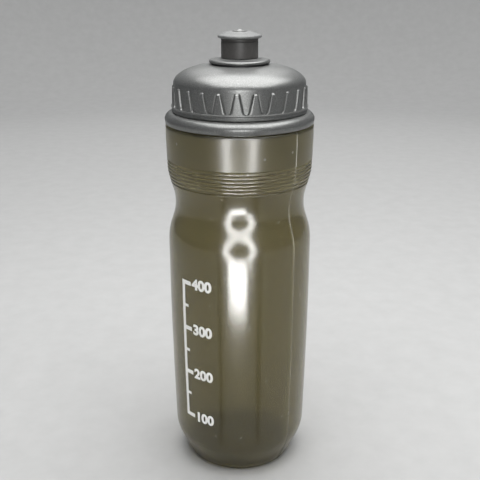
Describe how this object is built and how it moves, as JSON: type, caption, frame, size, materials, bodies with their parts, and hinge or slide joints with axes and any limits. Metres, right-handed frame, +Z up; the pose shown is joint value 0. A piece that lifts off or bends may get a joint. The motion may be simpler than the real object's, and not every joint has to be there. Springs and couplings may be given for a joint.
{
  "type": "sports squeeze bottle",
  "caption": "Round soft-walled drinking bottle with a gripped waist, a ribbed screw cap and a push-pull spout.",
  "frame": {"origin": "centre of the base, on the surface the bottle stands on", "axes": "+Z up along the bottle's axis; -Y is the front"},
  "size_m": [0.0746, 0.0746, 0.2303],
  "materials": {
    "smoked_wall": "translucent smoke-olive soft polyethylene, satin",
    "silver_plastic": "silver-grey flake-filled polypropylene, satin",
    "silver_soft_tip": "silver-grey soft thermoplastic elastomer, satin",
    "dark_plastic": "dark grey polypropylene, low gloss",
    "clear_silicone": "milky silicone",
    "black_rubber": "black nitrile rubber"
  },
  "bodies": {
    "bottle": {"bottle_body": "smoked_wall", "shoulder_collar": "silver_plastic"},
    "lid_seal": {"cap_gasket": "clear_silicone"},
    "lid": {"screw_cap": "silver_plastic", "valve_seal": "black_rubber", "valve_base": "silver_plastic"},
    "spout_seal": {"spout_o_ring": "black_rubber"},
    "spout": {"spout_barrel": "dark_plastic", "bite_tip": "silver_soft_tip"}
  },
  "joints": [
    {"name": "lid_lift", "type": "slide", "parent": "bottle", "child": "lid_seal", "axis": [0, 0, 1], "range_m": [0, 0.016]},
    {"name": "lid_turn", "type": "hinge", "parent": "lid_seal", "child": "lid", "pos_m": [0, 0, 0.195], "axis": [0, 0, 1], "range_deg": [0, 720]},
    {"name": "spout_pull", "type": "slide", "parent": "lid", "child": "spout_seal", "axis": [0, 0, 1], "range_m": [0, 0.006]},
    {"name": "spout_spin", "type": "hinge", "parent": "spout_seal", "child": "spout", "pos_m": [0, 0, 0.22], "axis": [0, 0, 1], "continuous": true}
  ],
  "couplings": [
    {"joint": "lid_lift", "follows": "lid_turn", "m_per_rad": 0.0012732}
  ]
}
